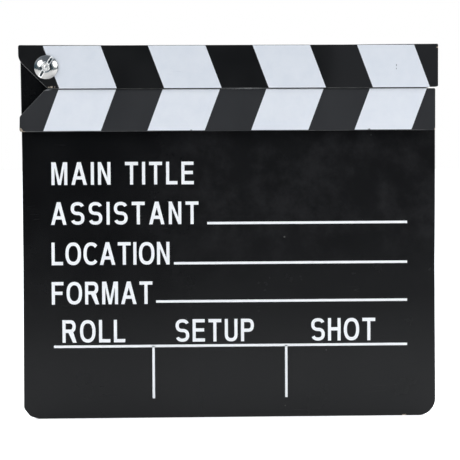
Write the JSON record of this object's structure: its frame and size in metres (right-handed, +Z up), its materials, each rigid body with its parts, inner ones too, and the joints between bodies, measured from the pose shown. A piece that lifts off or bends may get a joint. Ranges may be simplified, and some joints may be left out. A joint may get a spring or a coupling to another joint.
{
  "type": "clapperboard",
  "caption": "Hand-held film clapperboard: flat black slate with printed writing lines, a fixed striped stick and a striped clapper stick hinged on a corner pivot screw.",
  "frame": {"origin": "middle of the slate's bottom edge, at half the slate's thickness", "axes": "+X to the right seen from the front, along the sticks; +Y from the printed front to the back; +Z up, towards the sticks"},
  "size_m": [0.2013, 0.0228, 0.1805],
  "materials": {
    "slate_paint": "satin black paint on fibreboard",
    "lower_stick_paint": "matt charcoal paint on fibreboard",
    "upper_stick_paint": "satin black paint on fibreboard",
    "stripe_print": "cool white screen print",
    "slate_print": "bright white screen print",
    "zinc_steel": "bright zinc plate"
  },
  "bodies": {
    "slate": {"slate_board": "slate_paint", "lower_stick": "lower_stick_paint", "lower_stripes": "stripe_print", "slate_lines": "slate_print", "pivot_screw": "zinc_steel", "spacer_washer": "zinc_steel", "back_washer": "zinc_steel", "spring_washer": "zinc_steel", "hex_nut": "zinc_steel"},
    "clapper": {"upper_stick": "upper_stick_paint", "upper_stripes": "stripe_print"}
  },
  "joints": [
    {"name": "clapper_hinge", "type": "hinge", "parent": "slate", "child": "clapper", "pos_m": [-0.0874, 0, 0.1701], "axis": [0, -1, 0], "range_deg": [0, 90]}
  ]
}
